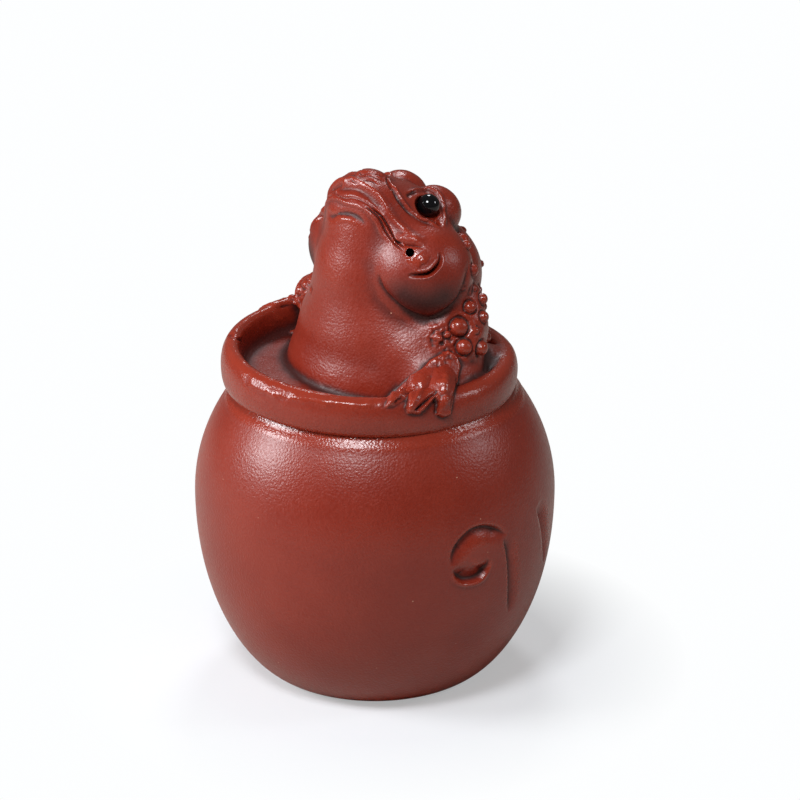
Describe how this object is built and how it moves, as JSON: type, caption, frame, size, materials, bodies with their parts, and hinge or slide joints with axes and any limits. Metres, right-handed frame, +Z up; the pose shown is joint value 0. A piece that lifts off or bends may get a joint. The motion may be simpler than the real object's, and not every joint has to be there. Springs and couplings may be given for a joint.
{
  "type": "toad tea pet",
  "caption": "Hollow red clay tea pet: a warty toad rising from a round jar, its front feet on the rolled rim, with black bead eyes.",
  "frame": {"origin": "centre of the jar's flat foot, on the surface it stands on", "axes": "+Z up the jar's axis; the toad faces -Y and its left side is towards +X"},
  "size_m": [0.06, 0.06, 0.0867],
  "materials": {
    "red_clay": "unglazed fired red clay, satin from handling and tea",
    "black_bead": "polished black"
  },
  "bodies": {
    "root": {"clay_body": "red_clay", "left_eye": "black_bead", "right_eye": "black_bead"}
  },
  "joints": []
}
